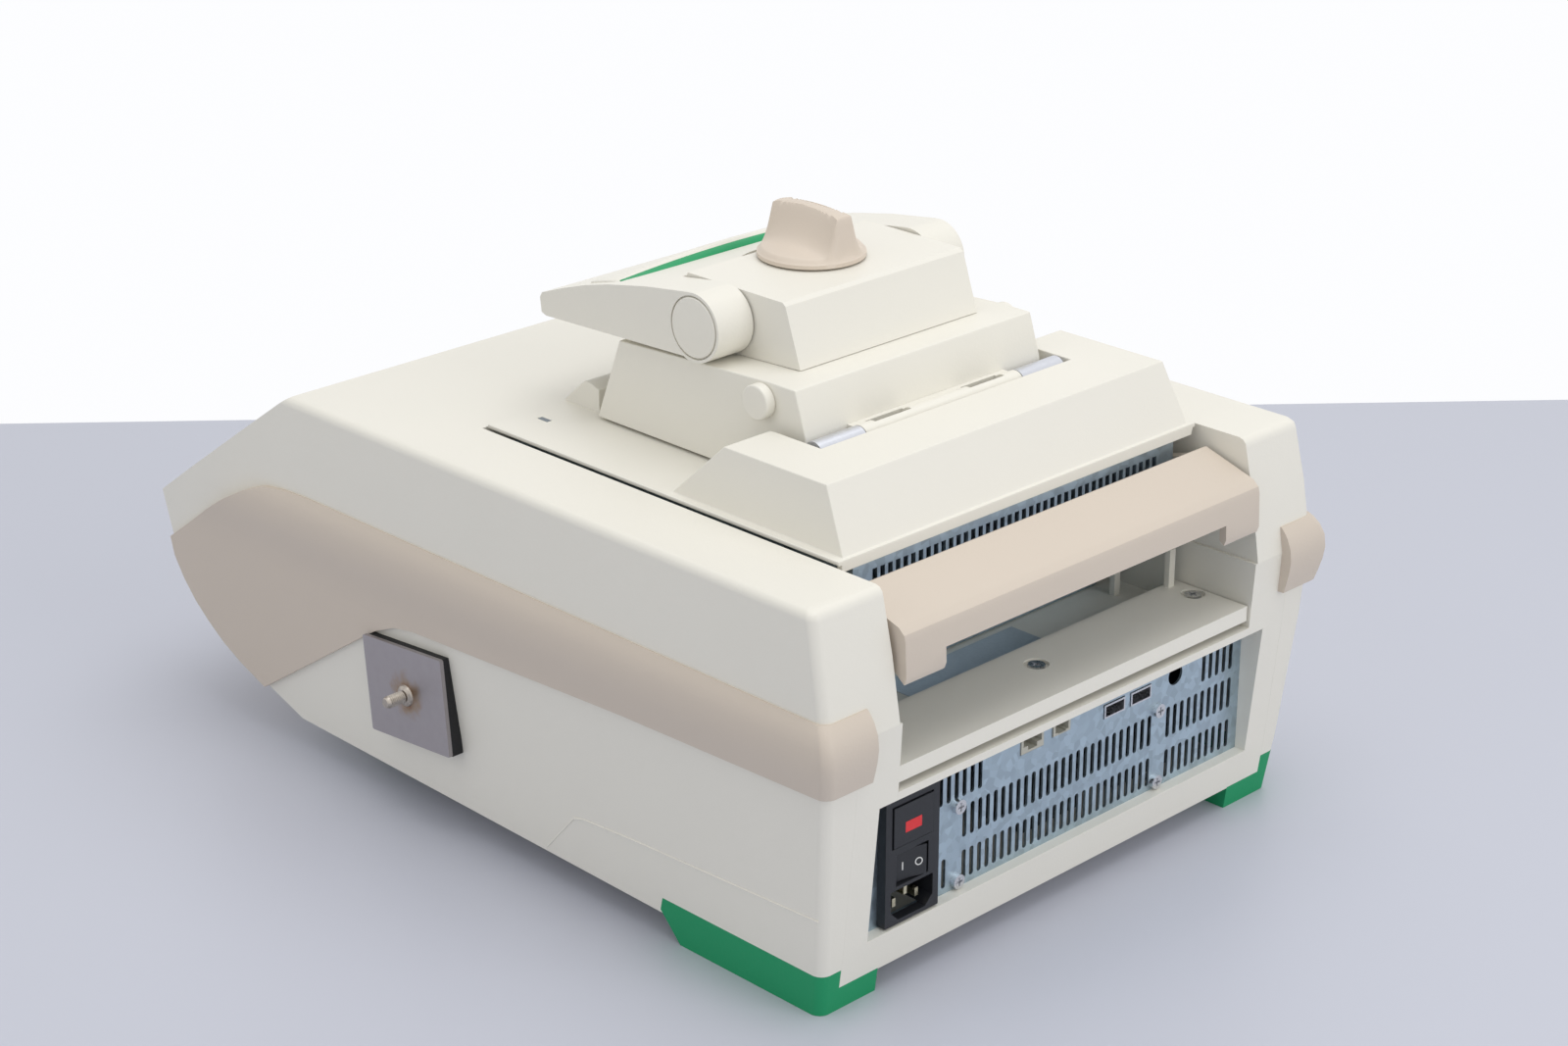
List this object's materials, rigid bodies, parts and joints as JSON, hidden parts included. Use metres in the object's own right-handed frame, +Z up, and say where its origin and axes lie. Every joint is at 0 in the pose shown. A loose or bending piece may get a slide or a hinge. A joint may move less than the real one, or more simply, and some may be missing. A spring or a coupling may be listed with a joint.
{
  "type": "thermal cycler",
  "caption": "Bench thermal cycler with a hinged heated lid, latch lever, pressure knob, slide-out sample module and rear lock bar.",
  "frame": {"origin": "on the bench, under the middle of the case, on its plane of symmetry", "axes": "+Y to the rear panel, +Z up, +X to the side that carries the anchor plate"},
  "size_m": [0.344, 0.4755, 0.29],
  "materials": {
    "cream_plastic": "fine spark texture, satin",
    "beige_plastic": "fine spark texture, satin",
    "green_rubber": "matt",
    "green_plastic": "satin",
    "galvanised_steel": "zinc spangle",
    "bright_steel": "satin",
    "black_plastic": "satin",
    "red_plastic": "gloss",
    "contact_brass": "plated",
    "jack_plastic": "satin",
    "label_foil": "satin foil",
    "circuit_board": "satin",
    "grey_plastic": "satin",
    "screen_glass": "gloss",
    "foam_pad": "matt foam",
    "bare_steel": "bare, heat marked round the weld",
    "light_guide": "clear",
    "aluminium": "satin",
    "ceramic": "matt"
  },
  "bodies": {
    "base": {"lower_case": "cream_plastic", "upper_case": "cream_plastic", "rear_frame": "cream_plastic", "side_trim_right": "beige_plastic", "side_trim_left": "beige_plastic", "front_trim": "beige_plastic", "rear_foot_right": "green_rubber", "rear_foot_left": "green_rubber", "front_feet": "green_rubber", "rear_panel": "galvanised_steel", "panel_screws": "bright_steel", "power_inlet": "black_plastic", "inlet_pins": "contact_brass", "usb_ports": "bright_steel", "network_jack": "jack_plastic", "module_tray": "cream_plastic", "tray_screws": "bright_steel", "rating_label": "label_foil", "power_supply": "galvanised_steel", "main_board": "circuit_board", "base_fan_frames": "black_plastic", "base_connector": "black_plastic", "display_bezel": "grey_plastic", "display_glass": "screen_glass", "display_module": "grey_plastic", "anchor_pad": "foam_pad", "anchor_plate": "bare_steel", "anchor_stud": "bare_steel"},
    "module": {"module_bezel": "cream_plastic", "status_light": "light_guide", "module_chassis": "galvanised_steel", "sample_block": "aluminium", "thermoelectric_modules": "ceramic", "heat_sink": "aluminium", "block_seal": "foam_pad", "module_fan_frames": "black_plastic", "module_connector": "black_plastic", "module_board": "circuit_board", "hinge_tubes": "bright_steel"},
    "lid": {"lid_shell_lower": "cream_plastic", "lid_shell_upper": "cream_plastic", "hinge_leaf": "cream_plastic", "side_caps": "cream_plastic"},
    "lever": {"lid_lever": "cream_plastic", "lever_insert": "green_plastic", "lever_caps": "cream_plastic"},
    "latch": {"latch_hook": "bright_steel"},
    "knob": {"pressure_knob": "beige_plastic", "clamp_screw": "bright_steel"},
    "heater": {"heated_plate": "aluminium", "plate_carrier": "grey_plastic"},
    "lock_bar": {"lock_bar": "beige_plastic"},
    "fuse_drawer": {"fuse_drawer": "black_plastic", "fuse_window": "red_plastic"},
    "rocker": {"power_switch": "black_plastic"},
    "standby": {"standby_button": "grey_plastic"},
    "base_rotor_right": {"base_fan_rotor_right": "black_plastic"},
    "base_rotor_left": {"base_fan_rotor_left": "black_plastic"},
    "module_rotor_right": {"module_fan_rotor_right": "black_plastic"},
    "module_rotor_left": {"module_fan_rotor_left": "black_plastic"}
  },
  "joints": [
    {"name": "module_slide", "type": "slide", "parent": "base", "child": "module", "axis": [0, 1, 0], "range_m": [0, 0.01]},
    {"name": "lock_bar_pivot", "type": "hinge", "parent": "base", "child": "lock_bar", "pos_m": [0, 0.1395, 0.15], "axis": [1, 0, 0], "range_deg": [-21.1, 0]},
    {"name": "lid_hinge", "type": "hinge", "parent": "module", "child": "lid", "pos_m": [0, 0.1425, 0.213], "axis": [-1, 0, 0], "range_deg": [0, 80]},
    {"name": "lever_pivot", "type": "hinge", "parent": "lid", "child": "lever", "pos_m": [0, 0.0683, 0.2516], "axis": [-1, 0, 0], "range_deg": [0, 20]},
    {"name": "latch_slide", "type": "slide", "parent": "lid", "child": "latch", "axis": [0, 1, 0], "range_m": [0, 0.0032]},
    {"name": "knob_turn", "type": "hinge", "parent": "lid", "child": "knob", "pos_m": [0, 0.0623, 0.267], "axis": [0, 0, 1], "range_deg": [-279, 279]},
    {"name": "plate_travel", "type": "slide", "parent": "lid", "child": "heater", "axis": [0, 0, 1], "range_m": [-0.003, 0.003]},
    {"name": "fuse_drawer_slide", "type": "slide", "parent": "base", "child": "fuse_drawer", "axis": [0, 1, 0], "range_m": [0, 0.018]},
    {"name": "power_rocker", "type": "hinge", "parent": "base", "child": "rocker", "pos_m": [0.1005, 0.2175, 0.0552], "axis": [0, 0, 1], "range_deg": [0, 14]},
    {"name": "standby_press", "type": "slide", "parent": "base", "child": "standby", "axis": [0, 0.5727, -0.8198], "range_m": [0, 0.0012], "stiffness_N_per_m": 1500},
    {"name": "base_rotor_right_spin", "type": "hinge", "parent": "base", "child": "base_rotor_right", "pos_m": [-0.03, 0.165, 0.057], "axis": [0, 1, 0], "continuous": true},
    {"name": "base_rotor_left_spin", "type": "hinge", "parent": "base", "child": "base_rotor_left", "pos_m": [-0.095, 0.165, 0.057], "axis": [0, 1, 0], "continuous": true},
    {"name": "module_rotor_right_spin", "type": "hinge", "parent": "module", "child": "module_rotor_right", "pos_m": [0.035, 0.122, 0.143], "axis": [0, 1, 0], "continuous": true},
    {"name": "module_rotor_left_spin", "type": "hinge", "parent": "module", "child": "module_rotor_left", "pos_m": [-0.035, 0.122, 0.143], "axis": [0, 1, 0], "continuous": true}
  ],
  "couplings": [
    {"joint": "lock_bar_pivot", "follows": "module_slide", "rad_per_m": -36.65},
    {"joint": "latch_slide", "follows": "lever_pivot", "m_per_rad": 0.0091},
    {"joint": "knob_turn", "follows": "plate_travel", "rad_per_m": 1570.8}
  ]
}
